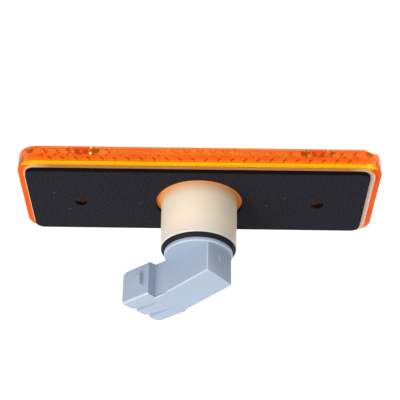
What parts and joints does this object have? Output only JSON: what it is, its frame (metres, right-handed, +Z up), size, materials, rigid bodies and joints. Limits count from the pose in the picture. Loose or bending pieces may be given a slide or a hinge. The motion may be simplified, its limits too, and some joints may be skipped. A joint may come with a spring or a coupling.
{
  "type": "side marker lamp",
  "caption": "Rectangular amber side marker lamp with a back plate and bulb tube, a foam gasket, and a bulb holder whose arm ends in a plug socket.",
  "frame": {"origin": "on the bulb tube's axis, midway between the two screws, in the mounting plane: the rear face of the foam gasket", "axes": "+X along the lamp, +Y out of its back along the bulb tube, +Z up; the lens faces -Y"},
  "size_m": [0.12, 0.0453, 0.0441],
  "materials": {
    "amber_lens": "clear moulded amber acrylic, polished",
    "ivory_plastic": "moulded, soft sheen",
    "gasket_foam": "fine closed-cell foam",
    "seal_rubber": "smooth moulded rubber",
    "grey_plastic": "moulded, fine satin",
    "tinned_brass": "tin plated",
    "bulb_glass": "clear blown glass",
    "lead_wire": "drawn wire",
    "filament_wire": "coiled tungsten"
  },
  "bodies": {
    "root": {"lens": "amber_lens", "housing": "ivory_plastic", "gasket": "gasket_foam", "seal_ring": "seal_rubber", "bulb_holder": "grey_plastic", "terminal_live": "tinned_brass", "terminal_earth": "tinned_brass", "bulb_glass": "bulb_glass", "bulb_leads": "lead_wire", "bulb_filament": "filament_wire"}
  },
  "joints": []
}
